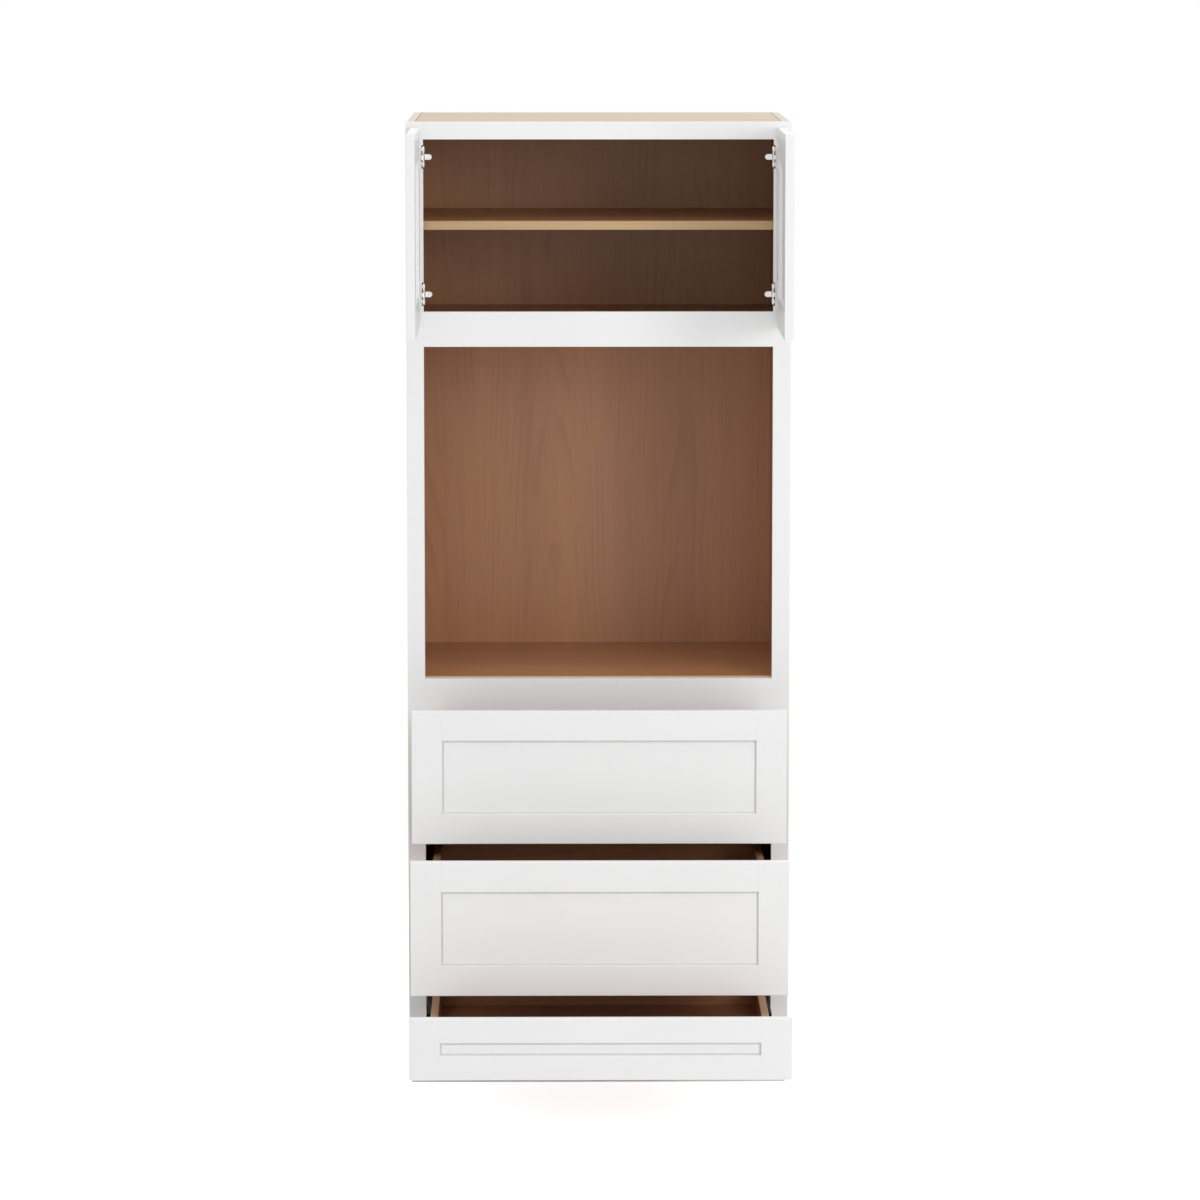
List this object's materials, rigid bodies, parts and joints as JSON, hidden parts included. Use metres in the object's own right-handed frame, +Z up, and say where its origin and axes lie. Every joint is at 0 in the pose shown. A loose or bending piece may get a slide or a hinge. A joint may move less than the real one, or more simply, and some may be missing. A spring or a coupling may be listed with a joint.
{
  "type": "tall oven cabinet",
  "caption": "Tall fitted kitchen cabinet with a painted face frame: a cupboard with overlay doors and a shelf, an open bay for a built-in oven, and pull-out drawers at the foot.",
  "frame": {"origin": "on the floor, in the middle of the cabinet's back, where the wall meets the floor", "axes": "+Z up, +Y into the wall, so the doors and drawers face -Y; +X to the right as seen from the front"},
  "size_m": [0.8382, 1.1286, 2.1336],
  "materials": {
    "white_paint": "satin white paint on maple, over the whole piece",
    "maple_plywood": "clear-coated maple veneer plywood",
    "raw_maple": "bare maple",
    "drawer_box_maple": "clear-coated solid maple",
    "black_coated_steel": "black electrophoretic coat",
    "zinc_plated_steel": "bright zinc plate",
    "nickel_plated_steel": "satin nickel plate",
    "clear_bumper": "clear soft plastic"
  },
  "bodies": {
    "cabinet": {"left_side_panel": "white_paint", "right_side_panel": "white_paint", "top_panel": "maple_plywood", "upper_deck": "maple_plywood", "oven_deck": "maple_plywood", "bottom_deck": "maple_plywood", "back_panel": "maple_plywood", "hanging_rails": "raw_maple", "toe_kick_board": "white_paint", "slide_cleats": "raw_maple", "oven_deck_cleats": "raw_maple", "adjustable_shelf": "maple_plywood", "shelf_pins": "nickel_plated_steel", "left_frame_stile": "white_paint", "right_frame_stile": "white_paint", "frame_top_rail": "white_paint", "frame_rail_above_oven": "white_paint", "frame_rail_below_oven": "white_paint", "frame_drawer_rails": "white_paint", "frame_bottom_rail": "white_paint", "cabinet_slide_members": "black_coated_steel", "hinge_plates": "nickel_plated_steel", "hinge_arms": "nickel_plated_steel", "mounting_screws": "zinc_plated_steel"},
    "left_door": {"left_door_stiles": "white_paint", "left_door_rails": "white_paint", "left_door_panel": "white_paint", "left_door_hinge_cups": "nickel_plated_steel", "left_door_hinge_fixings": "nickel_plated_steel", "left_door_bumpers": "clear_bumper"},
    "right_door": {"right_door_stiles": "white_paint", "right_door_rails": "white_paint", "right_door_panel": "white_paint", "right_door_hinge_cups": "nickel_plated_steel", "right_door_hinge_fixings": "nickel_plated_steel", "right_door_bumpers": "clear_bumper"},
    "upper_drawer": {"upper_drawer_front_stiles": "white_paint", "upper_drawer_front_rails": "white_paint", "upper_drawer_front_panel": "white_paint", "upper_drawer_box_bottom": "drawer_box_maple", "upper_drawer_box_sides": "drawer_box_maple", "upper_drawer_box_ends": "drawer_box_maple", "upper_drawer_slide_members": "black_coated_steel"},
    "upper_drawer_slide_middles": {"upper_drawer_middle_members": "black_coated_steel"},
    "middle_drawer": {"middle_drawer_front_stiles": "white_paint", "middle_drawer_front_rails": "white_paint", "middle_drawer_front_panel": "white_paint", "middle_drawer_box_bottom": "drawer_box_maple", "middle_drawer_box_sides": "drawer_box_maple", "middle_drawer_box_ends": "drawer_box_maple", "middle_drawer_slide_members": "black_coated_steel"},
    "middle_drawer_slide_middles": {"middle_drawer_middle_members": "black_coated_steel"},
    "bottom_drawer": {"bottom_drawer_front_stiles": "white_paint", "bottom_drawer_front_rails": "white_paint", "bottom_drawer_front_panel": "white_paint", "bottom_drawer_box_bottom": "drawer_box_maple", "bottom_drawer_box_sides": "drawer_box_maple", "bottom_drawer_box_ends": "drawer_box_maple", "bottom_drawer_slide_members": "black_coated_steel"},
    "bottom_drawer_slide_middles": {"bottom_drawer_middle_members": "black_coated_steel"}
  },
  "joints": [
    {"name": "left_door_hinge", "type": "hinge", "parent": "cabinet", "child": "left_door", "pos_m": [-0.3989, -0.6229, 1.905], "axis": [0, 0, -1], "range_deg": [-90, 15]},
    {"name": "right_door_hinge", "type": "hinge", "parent": "cabinet", "child": "right_door", "pos_m": [0.3989, -0.6229, 1.905], "axis": [0, 0, 1], "range_deg": [-90, 15]},
    {"name": "upper_drawer_slide", "type": "slide", "parent": "cabinet", "child": "upper_drawer", "axis": [0, -1, 0], "range_m": [-0.165, 0.3684]},
    {"name": "upper_drawer_middle_slide", "type": "slide", "parent": "cabinet", "child": "upper_drawer_slide_middles", "axis": [0, -1, 0], "range_m": [-0.0825, 0.1842]},
    {"name": "middle_drawer_slide", "type": "slide", "parent": "cabinet", "child": "middle_drawer", "axis": [0, -1, 0], "range_m": [-0.318, 0.2154]},
    {"name": "middle_drawer_middle_slide", "type": "slide", "parent": "cabinet", "child": "middle_drawer_slide_middles", "axis": [0, -1, 0], "range_m": [-0.159, 0.1077]},
    {"name": "bottom_drawer_slide", "type": "slide", "parent": "cabinet", "child": "bottom_drawer", "axis": [0, -1, 0], "range_m": [-0.497, 0.0364]},
    {"name": "bottom_drawer_middle_slide", "type": "slide", "parent": "cabinet", "child": "bottom_drawer_slide_middles", "axis": [0, -1, 0], "range_m": [-0.2485, 0.0182]}
  ],
  "couplings": [
    {"joint": "upper_drawer_middle_slide", "follows": "upper_drawer_slide", "ratio": 0.5},
    {"joint": "middle_drawer_middle_slide", "follows": "middle_drawer_slide", "ratio": 0.5},
    {"joint": "bottom_drawer_middle_slide", "follows": "bottom_drawer_slide", "ratio": 0.5}
  ]
}
